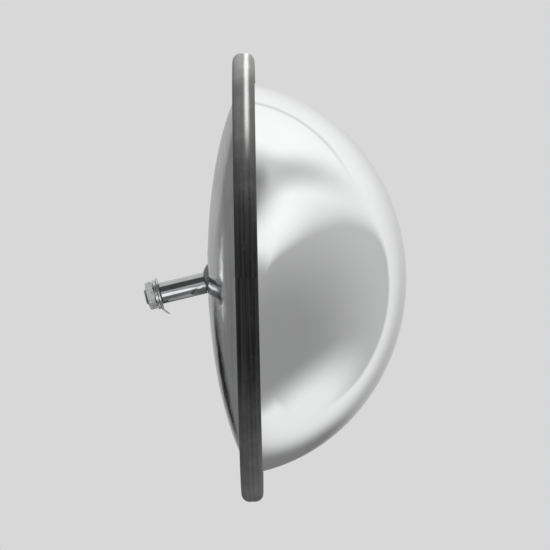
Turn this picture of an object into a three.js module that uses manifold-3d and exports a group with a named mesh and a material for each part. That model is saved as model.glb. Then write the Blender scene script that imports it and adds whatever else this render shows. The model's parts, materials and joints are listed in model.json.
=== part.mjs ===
// Convex traffic mirror on a ball-jointed arm. Millimetres, +Z up.
// The origin is the centre of the arm's rear seat, where a bracket plate is clamped.
// The mirror faces -Y. The arm runs back and down from the ball at the mirror's centre.
import * as THREE from 'three';
import { mergeVertices } from 'three/addons/utils/BufferGeometryUtils.js';
import Module from 'manifold-3d';

// Driving dimensions.
const GAP = 0.3; // left between pieces that rest on each other
const RIM_RADIUS = 225; // half of a 450 mm mirror
const RIM_THICKNESS = 22; // along the mirror's axis
const RIM_LIP_RADIUS = 203; // inner edge of the rubber channel's two lips
const RIM_ROUNDING = 6.5;
const RIM_LIP_EASE = 2; // chamfer on the lips' edges
const RIM_CENTRE = 23; // every height along the mirror's axis is counted from the ball's centre
const FLANGE_RADIUS = 219; // the mirror's and the shell's flanges end inside the channel

const DOME_CENTRE = -4; // the dome is part of an ellipsoid of revolution
const DOME_DEPTH = 186; // its half axis along the mirror's axis
const DOME_RADIUS = 199; // its half axis across
const DOME_THICKNESS = 3;
const DOME_FILLET = 4; // between the dome and its flange
const FILLET_MIDDLE = 0.3; // share of the fillet's size that its middle stands off each wall

const SHELL_CENTRE = 50.5; // the back shell is part of a flatter ellipsoid
const SHELL_DEPTH = 68;
const SHELL_RADIUS = 215;
const SHELL_THICKNESS = 1.2;
const SHELL_HOLE_RADIUS = 17.5; // lets the arm lean 18 degrees from the mirror's axis
const SHELL_FLANGE_BACK = 20;

const BALL_RADIUS = 23;
const LINER_THICKNESS = 2;
const CUP_ANGLE = THREE.MathUtils.degToRad(52); // half angle of the nylon cup in front of the ball
const SOCKET_WALL = 3.5;
const SOCKET_SPLIT = -1; // where the rear ring ends and the front socket starts
const SOCKET_FLANGE = 4;
const SOCKET_OUTER_RADIUS = 42;
const SEAT_OUTER_RADIUS = 27.5;
const SEAT_BACK = -15.3;

const CLAMP_COUNT = 4;
const CLAMP_CIRCLE = 34;
const CLAMP_RADIUS = 2.5; // M5
const CLAMP_HEAD_RADIUS = 4.7; // countersunk at 90 degrees, like the hole it sits in
const CLAMP_HEAD_BACK = -16.6; // level with the shell's back surface
const CLAMP_HEAD_EDGE = 0.3; // height of its straight edge
const CLAMP_HEAD_GAP = 0.45; // across the axis, 0.3 mm square to the cone
const CLAMP_KEYWAY_RADIUS = 1.73; // 3 mm hexagon key
const CLAMP_KEYWAY_DEPTH = 1.5;
const CLAMP_END = 11;
const CLAMP_NUT_FLATS = 8;
const CLAMP_NUT_HEIGHT = 4.7;
const CLAMP_WASHER_RADIUS = 4.6;
const CLAMP_WASHER_THICKNESS = 1.2;

const ARM_LEAN = THREE.MathUtils.degToRad(12.3); // from the mirror's axis
const ARM_LENGTH = 66.5; // ball centre to seat
const ARM_RADIUS = 10.65; // 21.3 mm tube
const ARM_BORE_RADIUS = 8.35;
const ARM_END_EASE = 0.5; // chamfer round the rear seat
const BALL_FLAT_RADIUS = 11; // flat on the ball that the tube stands on
const BALL_BORE_DEPTH = 28;
const STUD_RADIUS = 8; // M16
const STUD_FOOT = 2; // between the stud's tip and the bottom of the ball's bore
const STUD_CHAMFER = 1.2;
const STUD_PROTRUSION = 2;
const TAB_WASHER_RADIUS = 16.5;
const TAB_WASHER_THICKNESS = 2;
const WASHER_RADIUS = 15;
const WASHER_THICKNESS = 3;
const WASHER_BORE_RADIUS = 8.75;
const TAB_WIDTH = 8;
const TAB_LENGTH = 9;
const TAB_BEND = THREE.MathUtils.degToRad(40); // out of the washer's plane, towards the mirror
const TAB_ROOT_RADIUS = 15;
const NUT_FLATS = 24;
const NUT_HEIGHT = 8;

// Steps around each round piece.
const RIM_STEPS = 48;
const BALL_STEPS = 36;
const JOINT_STEPS = 24;
const SCREW_STEPS = 12;

// Steps along each curve of an outline.
const DOME_CURVE_STEPS = 12;
const SHELL_CURVE_STEPS = 8;
const BALL_CURVE_STEPS = 18;
const CUP_CURVE_STEPS = 10;
const SHORT_CURVE_STEPS = 6;
const EDGE_CURVE_STEPS = 3;

const HEXAGON_SIDES = 6;
const CUTTER_OVERSHOOT = 2; // cutters run this far past the faces they open
const CONE_MARGIN = 1; // how far a nut's chamfering shape stands off its corners and faces
const WELD_DISTANCE = 1e-4;
const ON_AXIS = 1e-9;

const FULL_TURN = 2 * Math.PI;

const wasm = await Module();
wasm.setup();

// Solids for booleans.

function toManifold(geometry) {
  const bare = geometry.clone();
  bare.deleteAttribute('normal');
  bare.deleteAttribute('uv');
  const merged = mergeVertices(bare, WELD_DISTANCE);
  return new wasm.Manifold(new wasm.Mesh({
    numProp: 3,
    vertProperties: new Float32Array(merged.attributes.position.array),
    triVerts: new Uint32Array(merged.index.array),
  }));
}

function toGeometry(manifold) {
  const mesh = manifold.getMesh();
  const geometry = new THREE.BufferGeometry();
  geometry.setAttribute('position', new THREE.BufferAttribute(mesh.vertProperties, 3));
  geometry.setIndex(new THREE.BufferAttribute(mesh.triVerts, 1));
  geometry.computeVertexNormals();
  return geometry;
}

function subtract(geometry, cutters) {
  let solid = toManifold(geometry);
  for (const cutter of cutters) {
    solid = solid.subtract(toManifold(cutter));
  }
  return toGeometry(solid);
}

// Outlines are lists of [radius, height] turned about the local Y axis.

function turned(outline, steps) {
  const points = outline.map(([radius, height]) => new THREE.Vector2(radius, height));
  return new THREE.LatheGeometry(points, steps);
}

function closed(outline) {
  return [...outline, outline[0]];
}

// Points on an arc about (centreRadius, centreHeight). Angles run from the radius direction to +height.
function arc(centreRadius, centreHeight, size, from, to, steps) {
  const points = [];
  for (let i = 0; i <= steps; i += 1) {
    const angle = from + (to - from) * (i / steps);
    points.push([centreRadius + size * Math.cos(angle), centreHeight + size * Math.sin(angle)]);
  }
  return points;
}

// The part of an ellipse between two angles, the same way.
function ellipse(centreHeight, radius, depth, from, to, steps) {
  const points = [];
  for (let i = 0; i <= steps; i += 1) {
    const angle = from + (to - from) * (i / steps);
    const onAxis = Math.abs(Math.cos(angle)) < ON_AXIS;
    points.push([onAxis ? 0 : radius * Math.cos(angle), centreHeight + depth * Math.sin(angle)]);
  }
  return points;
}

// A washer, sleeve or hollow shape with straight walls.
function ring(outerRadius, innerRadius, from, to, steps) {
  const outline = closed([[innerRadius, from], [outerRadius, from], [outerRadius, to], [innerRadius, to]]);
  return turned(outline, steps);
}

// A solid rod from one height to another.
function rod(radius, from, to, steps) {
  const geometry = new THREE.CylinderGeometry(radius, radius, to - from, steps);
  return geometry.translate(0, (from + to) / 2, 0);
}

// A nut whose lower face is at the given height, with its corners chamfered and its bore cut.
function nutShape(flats, height, boreRadius, from) {
  const cornerRadius = flats / Math.sqrt(3);
  const chamfer = cornerRadius - flats / 2;
  const widest = cornerRadius + CONE_MARGIN;
  const slope = (chamfer + CONE_MARGIN) / 2;
  const hexagon = new THREE.CylinderGeometry(cornerRadius, cornerRadius, height, HEXAGON_SIDES);
  hexagon.rotateY(FULL_TURN / HEXAGON_SIDES / 2);
  hexagon.translate(0, from + height / 2, 0);
  const cone = turned([
    [0, from - CONE_MARGIN],
    [flats / 2, from - CONE_MARGIN],
    [flats / 2, from],
    [widest, from + slope],
    [widest, from + height - slope],
    [flats / 2, from + height],
    [flats / 2, from + height + CONE_MARGIN],
    [0, from + height + CONE_MARGIN],
  ], JOINT_STEPS);
  const trimmed = toManifold(hexagon).intersect(toManifold(cone));
  const cutter = rod(boreRadius, from - CUTTER_OVERSHOOT, from + height + CUTTER_OVERSHOOT, JOINT_STEPS);
  return toGeometry(trimmed.subtract(toManifold(cutter)));
}

// Mirror head. Local +Y is the way the mirror faces, with 0 at the ball's centre.

function mirrorDomeShape() {
  const innerRadius = DOME_RADIUS - DOME_THICKNESS;
  const innerDepth = DOME_DEPTH - DOME_THICKNESS;
  const flangeBack = SHELL_FLANGE_BACK + SHELL_THICKNESS + GAP;
  const flangeFront = flangeBack + DOME_THICKNESS;
  const outerStart = Math.asin((flangeFront + DOME_FILLET - DOME_CENTRE) / DOME_DEPTH);
  const innerStart = Math.asin((flangeBack - DOME_CENTRE) / innerDepth);
  const filletRadius = DOME_RADIUS * Math.cos(outerStart) + DOME_FILLET;
  return turned([
    ...ellipse(DOME_CENTRE, innerRadius, innerDepth, Math.PI / 2, innerStart, DOME_CURVE_STEPS),
    [FLANGE_RADIUS, flangeBack],
    [FLANGE_RADIUS, flangeFront],
    [filletRadius, flangeFront],
    [filletRadius - (1 - FILLET_MIDDLE) * DOME_FILLET, flangeFront + FILLET_MIDDLE * DOME_FILLET],
    ...ellipse(DOME_CENTRE, DOME_RADIUS, DOME_DEPTH, outerStart, Math.PI / 2, DOME_CURVE_STEPS),
  ], RIM_STEPS);
}

// Angle on one of the shell's two ellipses at which it reaches a radius.
function shellAngle(radius, inset) {
  return -Math.acos(radius / (SHELL_RADIUS - inset));
}

function backShellShape() {
  const innerRadius = SHELL_RADIUS - SHELL_THICKNESS;
  const innerDepth = SHELL_DEPTH - SHELL_THICKNESS;
  const backEnd = -Math.asin((SHELL_CENTRE - SHELL_FLANGE_BACK) / SHELL_DEPTH);
  const flangeFront = SHELL_FLANGE_BACK + SHELL_THICKNESS;
  const frontEnd = -Math.asin((SHELL_CENTRE - flangeFront) / innerDepth);
  const backStart = shellAngle(SHELL_HOLE_RADIUS, 0);
  const frontStart = shellAngle(SHELL_HOLE_RADIUS, SHELL_THICKNESS);
  const outline = closed([
    ...ellipse(SHELL_CENTRE, SHELL_RADIUS, SHELL_DEPTH, backStart, backEnd, SHELL_CURVE_STEPS),
    [FLANGE_RADIUS, SHELL_FLANGE_BACK],
    [FLANGE_RADIUS, flangeFront],
    ...ellipse(SHELL_CENTRE, innerRadius, innerDepth, frontEnd, frontStart, SHELL_CURVE_STEPS),
  ]);
  return subtract(turned(outline, RIM_STEPS), clampHoles());
}

function rimGasketShape() {
  const back = RIM_CENTRE - RIM_THICKNESS / 2;
  const front = RIM_CENTRE + RIM_THICKNESS / 2;
  const slotBack = SHELL_FLANGE_BACK - GAP;
  const slotFront = SHELL_FLANGE_BACK + SHELL_THICKNESS + DOME_THICKNESS + 2 * GAP;
  const slotRadius = FLANGE_RADIUS + GAP;
  const crown = RIM_RADIUS - RIM_ROUNDING;
  const outline = closed([
    [RIM_LIP_RADIUS, slotBack],
    [RIM_LIP_RADIUS, back + RIM_LIP_EASE],
    [RIM_LIP_RADIUS + RIM_LIP_EASE, back],
    ...arc(crown, back + RIM_ROUNDING, RIM_ROUNDING, -Math.PI / 2, 0, EDGE_CURVE_STEPS),
    ...arc(crown, front - RIM_ROUNDING, RIM_ROUNDING, 0, Math.PI / 2, EDGE_CURVE_STEPS),
    [RIM_LIP_RADIUS + RIM_LIP_EASE, front],
    [RIM_LIP_RADIUS, front - RIM_LIP_EASE],
    [RIM_LIP_RADIUS, slotFront],
    [slotRadius, slotFront],
    [slotRadius, slotBack],
  ]);
  return turned(outline, RIM_STEPS);
}

// Clamp screws stand on a circle, halfway between the horizontal and the vertical.
function clampPlace(index) {
  const angle = FULL_TURN * ((index + 0.5) / CLAMP_COUNT);
  return [CLAMP_CIRCLE * Math.cos(angle), CLAMP_CIRCLE * Math.sin(angle)];
}

function clampHoles() {
  const holes = [];
  const radius = CLAMP_RADIUS + GAP;
  const sinkRadius = CLAMP_HEAD_RADIUS + CLAMP_HEAD_GAP;
  const sinkStart = CLAMP_HEAD_BACK - CUTTER_OVERSHOOT;
  const coneStart = CLAMP_HEAD_BACK + CLAMP_HEAD_EDGE;
  for (let i = 0; i < CLAMP_COUNT; i += 1) {
    const [x, z] = clampPlace(i);
    const hole = turned([
      [0, sinkStart],
      [sinkRadius, sinkStart],
      [sinkRadius, coneStart],
      [radius, coneStart + sinkRadius - radius],
      [radius, CLAMP_END],
      [0, CLAMP_END],
    ], SCREW_STEPS);
    holes.push(hole.translate(x, 0, z));
  }
  return holes;
}

// Ring behind the ball, shaped to the inside of the shell, holding the nylon seat.
function socketRingShape() {
  const inset = SHELL_THICKNESS + GAP;
  const bore = SEAT_OUTER_RADIUS + GAP;
  const radius = SHELL_RADIUS - inset;
  const depth = SHELL_DEPTH - inset;
  const from = shellAngle(bore, inset);
  const to = shellAngle(SOCKET_OUTER_RADIUS, inset);
  const outline = closed([
    [bore, SOCKET_SPLIT],
    ...ellipse(SHELL_CENTRE, radius, depth, from, to, EDGE_CURVE_STEPS),
    [SOCKET_OUTER_RADIUS, SOCKET_SPLIT],
  ]);
  return subtract(turned(outline, BALL_STEPS), clampHoles());
}

// Cup in front of the ball, with the flange that the clamp screws pull back.
function socketCupShape() {
  const innerRadius = BALL_RADIUS + 2 * GAP + LINER_THICKNESS;
  const outerRadius = innerRadius + SOCKET_WALL;
  const flangeBack = SOCKET_SPLIT + GAP;
  const flangeFront = flangeBack + SOCKET_FLANGE;
  const outerStart = Math.asin(flangeFront / outerRadius);
  const outline = [
    ...ellipse(0, innerRadius, innerRadius, Math.PI / 2, 0, CUP_CURVE_STEPS),
    [innerRadius, flangeBack],
    [SOCKET_OUTER_RADIUS, flangeBack],
    [SOCKET_OUTER_RADIUS, flangeFront],
    ...ellipse(0, outerRadius, outerRadius, outerStart, Math.PI / 2, CUP_CURVE_STEPS),
  ];
  return subtract(turned(outline, BALL_STEPS), clampHoles());
}

// Nylon cap between the ball and the front cup. It floats and is not fixed to either.
function thrustCupShape() {
  const innerRadius = BALL_RADIUS + GAP;
  const outerRadius = innerRadius + LINER_THICKNESS;
  const edge = Math.PI / 2 - CUP_ANGLE;
  return turned([
    ...ellipse(0, innerRadius, innerRadius, Math.PI / 2, edge, SHORT_CURVE_STEPS),
    ...ellipse(0, outerRadius, outerRadius, edge, Math.PI / 2, SHORT_CURVE_STEPS),
  ], BALL_STEPS);
}

// Nylon ring behind the ball's equator. It keeps the ball from pulling out.
function seatRingShape() {
  const innerRadius = BALL_RADIUS + GAP;
  const from = Math.asin(SOCKET_SPLIT / innerRadius);
  const to = Math.asin(SEAT_BACK / innerRadius);
  const outline = closed([
    [SEAT_OUTER_RADIUS, SEAT_BACK],
    [SEAT_OUTER_RADIUS, SOCKET_SPLIT],
    ...ellipse(0, innerRadius, innerRadius, from, to, SHORT_CURVE_STEPS),
  ]);
  return turned(outline, BALL_STEPS);
}

function clampScrewShape() {
  const coneStart = CLAMP_HEAD_BACK + CLAMP_HEAD_EDGE;
  const screw = turned([
    [0, CLAMP_HEAD_BACK],
    [CLAMP_HEAD_RADIUS, CLAMP_HEAD_BACK],
    [CLAMP_HEAD_RADIUS, coneStart],
    [CLAMP_RADIUS, coneStart + CLAMP_HEAD_RADIUS - CLAMP_RADIUS],
    [CLAMP_RADIUS, CLAMP_END],
    [0, CLAMP_END],
  ], SCREW_STEPS);
  const keywayStart = CLAMP_HEAD_BACK - CUTTER_OVERSHOOT;
  const keyway = rod(CLAMP_KEYWAY_RADIUS, keywayStart, CLAMP_HEAD_BACK + CLAMP_KEYWAY_DEPTH, HEXAGON_SIDES);
  return subtract(screw, [keyway]);
}

function clampWasherShape() {
  const back = SOCKET_SPLIT + SOCKET_FLANGE + 2 * GAP;
  return ring(CLAMP_WASHER_RADIUS, CLAMP_RADIUS + GAP, back, back + CLAMP_WASHER_THICKNESS, SCREW_STEPS);
}

function clampNutShape() {
  const back = SOCKET_SPLIT + SOCKET_FLANGE + 3 * GAP + CLAMP_WASHER_THICKNESS;
  return nutShape(CLAMP_NUT_FLATS, CLAMP_NUT_HEIGHT, CLAMP_RADIUS + GAP, back);
}

// Arm. Local +Y points backwards along the arm, with 0 at its rear seat.

function ballFlatHeight() {
  return Math.sqrt(BALL_RADIUS ** 2 - BALL_FLAT_RADIUS ** 2) - ARM_LENGTH;
}

function ballShape() {
  const flatAngle = Math.acos(BALL_FLAT_RADIUS / BALL_RADIUS);
  const bore = STUD_RADIUS + GAP;
  const boreEnd = ballFlatHeight() - BALL_BORE_DEPTH;
  return turned([
    ...ellipse(-ARM_LENGTH, BALL_RADIUS, BALL_RADIUS, -Math.PI / 2, flatAngle, BALL_CURVE_STEPS),
    [bore, ballFlatHeight()],
    [bore, boreEnd],
    [0, boreEnd],
  ], BALL_STEPS);
}

function armTubeShape() {
  const front = ballFlatHeight() + GAP;
  const outline = closed([
    [ARM_BORE_RADIUS, front],
    [ARM_RADIUS, front],
    [ARM_RADIUS, -ARM_END_EASE],
    [ARM_RADIUS - ARM_END_EASE, 0],
    [ARM_BORE_RADIUS, 0],
  ]);
  return turned(outline, JOINT_STEPS);
}

function tabWasherBack() {
  return GAP + TAB_WASHER_THICKNESS;
}

function washerBack() {
  return tabWasherBack() + GAP + WASHER_THICKNESS;
}

function nutBack() {
  return washerBack() + GAP + NUT_HEIGHT;
}

function armStudShape() {
  const front = ballFlatHeight() - BALL_BORE_DEPTH + STUD_FOOT;
  const back = nutBack() + STUD_PROTRUSION;
  return turned([
    [0, front],
    [STUD_RADIUS - STUD_CHAMFER, front],
    [STUD_RADIUS, front + STUD_CHAMFER],
    [STUD_RADIUS, back - STUD_CHAMFER],
    [STUD_RADIUS - STUD_CHAMFER, back],
    [0, back],
  ], JOINT_STEPS);
}

// Washer with one tab, bent towards the mirror at the washer's lowest point.
function tabWasherShape() {
  const disc = ring(TAB_WASHER_RADIUS, WASHER_BORE_RADIUS, GAP, tabWasherBack(), JOINT_STEPS);
  const tab = new THREE.BoxGeometry(TAB_WIDTH, TAB_WASHER_THICKNESS, TAB_LENGTH);
  tab.translate(0, 0, -TAB_LENGTH / 2);
  tab.rotateX(TAB_BEND);
  tab.translate(0, GAP + TAB_WASHER_THICKNESS / 2, -TAB_ROOT_RADIUS);
  return toGeometry(toManifold(disc).add(toManifold(tab)));
}

function flatWasherShape() {
  return ring(WASHER_RADIUS, WASHER_BORE_RADIUS, tabWasherBack() + GAP, washerBack(), JOINT_STEPS);
}

function jamNutShape() {
  return nutShape(NUT_FLATS, NUT_HEIGHT, STUD_RADIUS + GAP, washerBack() + GAP);
}

// Materials and assembly.

function piece(name, geometry, color, roughness, metalness) {
  const material = new THREE.MeshStandardMaterial({ color, roughness, metalness });
  const mesh = new THREE.Mesh(geometry, material);
  mesh.name = name;
  return mesh;
}

function mirrorHead() {
  const head = new THREE.Group();
  head.add(piece('mirror_dome', mirrorDomeShape(), 0xe6e8ea, 0.05, 1));
  head.add(piece('back_shell', backShellShape(), 0xa8aaac, 0.25, 1));
  head.add(piece('rim_gasket', rimGasketShape(), 0x2b2b2c, 0.7, 0));
  head.add(piece('socket_ring', socketRingShape(), 0x9a9c9e, 0.5, 1));
  head.add(piece('socket_cup', socketCupShape(), 0x9a9c9e, 0.5, 1));
  head.add(piece('thrust_cup', thrustCupShape(), 0xe8e4d8, 0.5, 0));
  head.add(piece('seat_ring', seatRingShape(), 0xe8e4d8, 0.5, 0));
  for (let i = 0; i < CLAMP_COUNT; i += 1) {
    const [x, z] = clampPlace(i);
    const number = i + 1;
    const screw = piece(`clamp_screw_${number}`, clampScrewShape(), 0xc2c4c6, 0.3, 1);
    const washer = piece(`clamp_washer_${number}`, clampWasherShape(), 0xb6b8ba, 0.4, 1);
    const nut = piece(`clamp_nut_${number}`, clampNutShape(), 0xb6b8ba, 0.4, 1);
    for (const fastener of [screw, washer, nut]) {
      fastener.position.set(x, 0, z);
      head.add(fastener);
    }
  }
  head.position.set(0, -ARM_LENGTH * Math.cos(ARM_LEAN), ARM_LENGTH * Math.sin(ARM_LEAN));
  head.rotation.x = Math.PI;
  return head;
}

function arm() {
  const group = new THREE.Group();
  group.add(piece('ball', ballShape(), 0xd6d8da, 0.12, 1));
  group.add(piece('arm_tube', armTubeShape(), 0xd6d8da, 0.12, 1));
  group.add(piece('arm_stud', armStudShape(), 0xb0b2b4, 0.35, 1));
  group.add(piece('tab_washer', tabWasherShape(), 0xb6b8ba, 0.35, 1));
  group.add(piece('flat_washer', flatWasherShape(), 0xb6b8ba, 0.35, 1));
  group.add(piece('jam_nut', jamNutShape(), 0xb6b8ba, 0.35, 1));
  group.rotation.x = -ARM_LEAN;
  return group;
}

const mirror = new THREE.Group();
mirror.add(mirrorHead());
mirror.add(arm());

export default mirror;
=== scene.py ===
import json
import math

import bmesh
import bpy
from mathutils import Matrix, Vector


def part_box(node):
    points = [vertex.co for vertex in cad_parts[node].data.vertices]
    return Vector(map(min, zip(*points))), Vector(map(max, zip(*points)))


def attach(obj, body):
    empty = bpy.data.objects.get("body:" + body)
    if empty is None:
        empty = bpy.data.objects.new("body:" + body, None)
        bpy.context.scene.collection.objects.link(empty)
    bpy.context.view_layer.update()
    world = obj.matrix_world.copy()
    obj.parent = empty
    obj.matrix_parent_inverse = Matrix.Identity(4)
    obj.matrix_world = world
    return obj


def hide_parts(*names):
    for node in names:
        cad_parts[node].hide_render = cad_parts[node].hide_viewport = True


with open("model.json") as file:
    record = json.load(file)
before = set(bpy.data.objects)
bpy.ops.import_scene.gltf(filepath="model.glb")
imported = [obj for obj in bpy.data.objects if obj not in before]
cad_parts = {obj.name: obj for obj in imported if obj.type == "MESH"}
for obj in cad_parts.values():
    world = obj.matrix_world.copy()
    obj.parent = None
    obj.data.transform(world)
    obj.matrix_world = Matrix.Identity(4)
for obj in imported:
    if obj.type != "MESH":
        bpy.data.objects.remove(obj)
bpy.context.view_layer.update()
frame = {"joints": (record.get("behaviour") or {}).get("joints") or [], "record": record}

# Sizes are in millimetres, as on a drawing, and become metres when a mesh is made.
MM = 0.001
FULL_TURN = 2 * math.pi
BALL_CENTRE = Vector(frame["joints"][0]["pos_m"])
MOUNTS = {mount["name"]: mount for mount in frame["record"]["mounts"]}
SEAT = Vector(MOUNTS["bracket_clamp"]["pos_m"])
ARM_AXIS = Vector(MOUNTS["bracket_clamp"]["axis"]).normalized()


def axes(origin, across, along):
    """A place whose local Z runs along one direction and local X across it."""
    up = along.cross(across)
    place = Matrix((across, up, along)).transposed().to_4x4()
    place.translation = origin
    return place


# In the head's place, local Z is the way the mirror faces, from the ball's centre.
HEAD = axes(BALL_CENTRE, Vector((1, 0, 0)), Vector((0, -1, 0)))
# In the arm's place, local Z runs backwards along the arm, from its rear seat.
ARM = axes(SEAT, Vector((1, 0, 0)), ARM_AXIS)


def in_head(node):
    """Lowest and highest corner of a CAD node in the head's place, in millimetres."""
    inverse = HEAD.inverted()
    low, high = (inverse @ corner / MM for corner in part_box(node))
    return [sorted(pair) for pair in zip(low, high)]


# The head, in the head's place.
RIM_RADIUS = in_head("rim_gasket")[0][1]
RIM_BACK, RIM_FRONT = in_head("rim_gasket")[2]
FLANGE_RADIUS = in_head("mirror_dome")[0][1]
DOME_BACK, DOME_APEX = in_head("mirror_dome")[2]
SHELL_APEX = in_head("back_shell")[2][0]
LIP_RADIUS = 203 # inner edge of the rubber's two lips
LIP_ROUNDING = 3.2
LIP_SLOT_ROUNDING = 0.8
SLOT_ROUNDING = 0.4
RIM_ROUNDING = 8.2
GROOVE_DEPTH = 0.15 # a shallow groove runs round the middle of the rim
GROOVE_HALF_FLOOR = 0.6
GROOVE_HALF_TOP = 1.2
GAP = 0.3 # clearance between neighbours
FLANGE_EASE = 0.6
DOME_CENTRE = -4 # the dome is part of an ellipsoid, and so is the shell
DOME_DEPTH = DOME_APEX - DOME_CENTRE
DOME_RADIUS = 199
DOME_THICKNESS = 3
DOME_FILLET = 4
SHELL_CENTRE = 50.5
SHELL_DEPTH = 68
SHELL_RADIUS = 215
SHELL_THICKNESS = 1.2
SHELL_HOLE = 17.5
HOLE_EASE = 0.5
HOLE_EASE_DEPTH = 0.7
SHELL_FLANGE_BACK = 20
BALL_RADIUS = 23
LINER_THICKNESS = 2
SOCKET_SPLIT = -1 # the height where the socket's two halves meet
SOCKET_WALL = 3.5
SOCKET_FLANGE = 4
SOCKET_RADIUS = in_head("socket_cup")[0][1]
SOCKET_BEVEL = 0.3
SEAT_RADIUS = 27.5
SEAT_BACK = -15.3
CUP_ANGLE = math.radians(52) # from the axis to the thrust cup's edge
CLAMP_COUNT = 4
CLAMP_CIRCLE = 34 # radius of the circle that the screws stand on
CLAMP_RADIUS = 2.5
CLAMP_HEAD_RADIUS = 4.7
CLAMP_HEAD_BACK = -16.6
CLAMP_HEAD_EDGE = 0.3
CLAMP_HEAD_CHAMFER = 0.15
CLAMP_HEAD_GAP = 0.45
CLAMP_END = 11
CLAMP_END_CHAMFER = 0.4
CLAMP_KEY_RADIUS = 1.73
CLAMP_KEY_DEPTH = 1.5
CLAMP_NUT_FLATS = 8
CLAMP_NUT_HEIGHT = 4.7
CLAMP_PITCH = 0.8
CLAMP_WASHER_RADIUS = 4.6
CLAMP_WASHER_THICKNESS = 1.2

# The arm, in the arm's place.
ARM_LENGTH = (BALL_CENTRE - SEAT).length / MM
ARM_RADIUS = 10.65
ARM_BORE = 8.35
BALL_FLAT = 11
BALL_BORE_DEPTH = 28
STUD_RADIUS = 8
STUD_FOOT = 2 # free depth under the stud in the ball's bore
STUD_FOOT_CHAMFER = 1
STUD_PITCH = 2
STUD_PROTRUSION = 2
STUD_THREAD_START = -18
STUD_THREAD_DEPTH = 1.1
STUD_THREAD_ROWS = 96
STUD_CHAMFER = 1.3
TAB_WASHER_RADIUS = 16.5
TAB_WASHER_THICKNESS = 2
TAB_WIDTH = 8
TAB_LENGTH = 9
TAB_ROOT = 15
TAB_OVERLAP = 3
TAB_BEND = math.radians(40)
TAB_BEND_RADIUS = 3.0
TAB_BEND_STEPS = 12
TAB_BEVEL = 0.25
WASHER_RADIUS = 15
WASHER_THICKNESS = 3
WASHER_BORE = 8.75
WASHER_ROUNDING = (0.2, 0.25, 0.45, 0.35) # a punched washer is eased more on one side
NUT_FLATS = 24
NUT_HEIGHT = 8
NUT_CORNER_CUT = 0.6 # the chamfer's height, as a share of how far a corner stands out
NUT_FACE = 0.97 # share of the width across flats that stays flat on each face
NUT_CONE_START = 0.94
NUT_MOUTH = 0.5
NUT_GROOVE = 0.3 # depth of the thread's grooves, as a share of the pitch
NUT_BEVEL = 0.15
TAB_WASHER_BACK = GAP + TAB_WASHER_THICKNESS
WASHER_BACK = TAB_WASHER_BACK + GAP + WASHER_THICKNESS
NUT_BACK = WASHER_BACK + GAP + NUT_HEIGHT
STUD_BACK = NUT_BACK + STUD_PROTRUSION
BALL_FLAT_HEIGHT = math.sqrt(BALL_RADIUS**2 - BALL_FLAT**2) - ARM_LENGTH

# Steps around each kind of round piece, and along each curve.
LARGE = 256
MEDIUM = 96
SMALL = 48
HEXAGON = 6
DOME_CURVE = 96
SKIN_CURVE = 72
BALL_CURVE = 64
CUP_CURVE = 24
SEAT_CURVE = 16
RING_CURVE = 12
FILLET_CURVE = 8

OVERSHOOT = 1 # how far a cutter reaches past what it cuts
ON_AXIS = 1e-9
WELD_DISTANCE = 1e-7
SHARP_AFTER_BEVEL = 40


# Outlines: lists of (radius, height).


def ellipse(centre, radius, depth, start, end, steps):
    """Part of an ellipse. Angles run from the radius direction towards +height."""
    points = []
    for i in range(steps + 1):
        angle = start + (end - start) * i / steps
        across = math.cos(angle)
        reach = radius * across if abs(across) > ON_AXIS else 0
        points.append((reach, centre + depth * math.sin(angle)))
    return points


def rounded(corners, steps=5):
    """A closed outline from (radius, height, rounding) corners, each rounded by an arc."""
    points = []
    count = len(corners)
    for i, (x, y, size) in enumerate(corners):
        here = Vector((x, y))
        if size <= 0:
            points.append((x, y))
            continue
        before = (Vector(corners[i - 1][:2]) - here).normalized()
        after = (Vector(corners[(i + 1) % count][:2]) - here).normalized()
        half = before.angle(after) / 2
        reach = size / math.tan(half)
        centre = here + (before + after).normalized() * (size / math.sin(half))
        first = here + before * reach - centre
        last = here + after * reach - centre
        for k in range(steps + 1):
            turn = first.slerp(last, k / steps) * first.length
            points.append(tuple(centre + turn))
    return points


# Meshes.


def finish_mesh(name, mesh, sharp_degrees):
    """Welds, faces outwards, shades smooth with sharp edges, and links the object."""
    bm = bmesh.new()
    bm.from_mesh(mesh)
    bmesh.ops.remove_doubles(bm, verts=bm.verts, dist=WELD_DISTANCE)
    bmesh.ops.recalc_face_normals(bm, faces=bm.faces)
    bm.to_mesh(mesh)
    bm.free()
    mesh.shade_smooth()
    mesh.set_sharp_from_angle(angle=math.radians(sharp_degrees))
    piece = bpy.data.objects.new(name, mesh)
    bpy.context.scene.collection.objects.link(piece)
    return piece


def turned(name, outline, place, steps, sharp_degrees=35, closed=True):
    """Turns an outline about the place's local Z. An open outline starts and ends on the axis."""
    points, faces, rings = [], [], []
    for radius, height in outline:
        if radius == 0:
            rings.append([len(points)] * steps)
            points.append(place @ (Vector((0, 0, height)) * MM))
            continue
        rings.append(list(range(len(points), len(points) + steps)))
        for i in range(steps):
            angle = FULL_TURN * i / steps
            local = Vector((radius * math.cos(angle), radius * math.sin(angle), height))
            points.append(place @ (local * MM))
    pairs = list(zip(rings, rings[1:]))
    if closed:
        pairs.append((rings[-1], rings[0]))
    for low, high in pairs:
        for i in range(steps):
            k = (i + 1) % steps
            face = list(dict.fromkeys([low[i], low[k], high[k], high[i]]))
            if len(face) > 2:
                faces.append(face)
    mesh = bpy.data.meshes.new(name)
    mesh.from_pydata(points, [], faces)
    return finish_mesh(name, mesh, sharp_degrees)


def prism(name, sides, radius, low, high, place):
    """A plain prism, used as a cutter or as the start of a nut."""
    outline = [(0, low), (radius, low), (radius, high), (0, high)]
    return turned(name, outline, place, sides, closed=False)


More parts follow.
